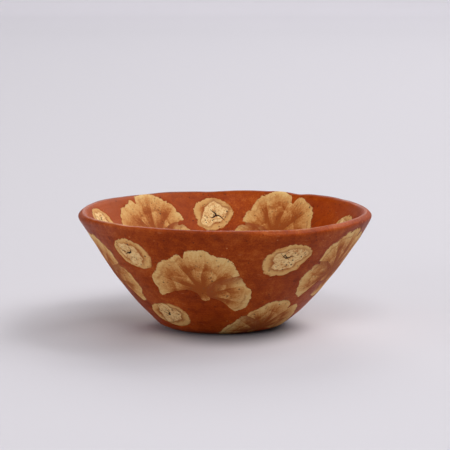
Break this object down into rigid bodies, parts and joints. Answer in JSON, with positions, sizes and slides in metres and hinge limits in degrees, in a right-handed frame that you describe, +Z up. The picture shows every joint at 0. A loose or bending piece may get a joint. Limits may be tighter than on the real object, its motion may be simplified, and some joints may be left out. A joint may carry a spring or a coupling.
{
  "type": "sake cup",
  "caption": "Small flaring sake cup with a rounded lip and a flat foot, its red clay wall inlaid right through with slices of cream fan-leaf and pebble patterned clay.",
  "frame": {"origin": "on the surface that the cup stands on, under the middle of the rim", "axes": "+Z up out of the cup's mouth; in the picture's view +X is to the right and +Y away from the camera"},
  "size_m": [0.0793, 0.0794, 0.0323],
  "materials": {
    "red_clay": "unglazed, burnished to a soft satin",
    "cream_leaf_clay": "unglazed, burnished to a soft satin, cream at the edges and rust towards the stalk",
    "cream_pebble_clay": "unglazed satin, with fine drying cracks and pinholes"
  },
  "bodies": {
    "root": {"red_clay_body": "red_clay", "leaf_slice_front": "cream_leaf_clay", "leaf_slice_right": "cream_leaf_clay", "leaf_slice_left": "cream_leaf_clay", "leaf_slice_back_left": "cream_leaf_clay", "leaf_slice_back_right": "cream_leaf_clay", "leaf_slice_low_front": "cream_leaf_clay", "leaf_slice_low_back": "cream_leaf_clay", "pebble_slice_upper_front": "cream_pebble_clay", "pebble_slice_upper_left": "cream_pebble_clay", "pebble_slice_low_left": "cream_pebble_clay", "pebble_slice_upper_right": "cream_pebble_clay", "pebble_slice_back": "cream_pebble_clay", "pebble_slice_upper_back_left": "cream_pebble_clay", "pebble_slice_low_back_left": "cream_pebble_clay", "pebble_slice_low_right": "cream_pebble_clay"}
  },
  "joints": []
}
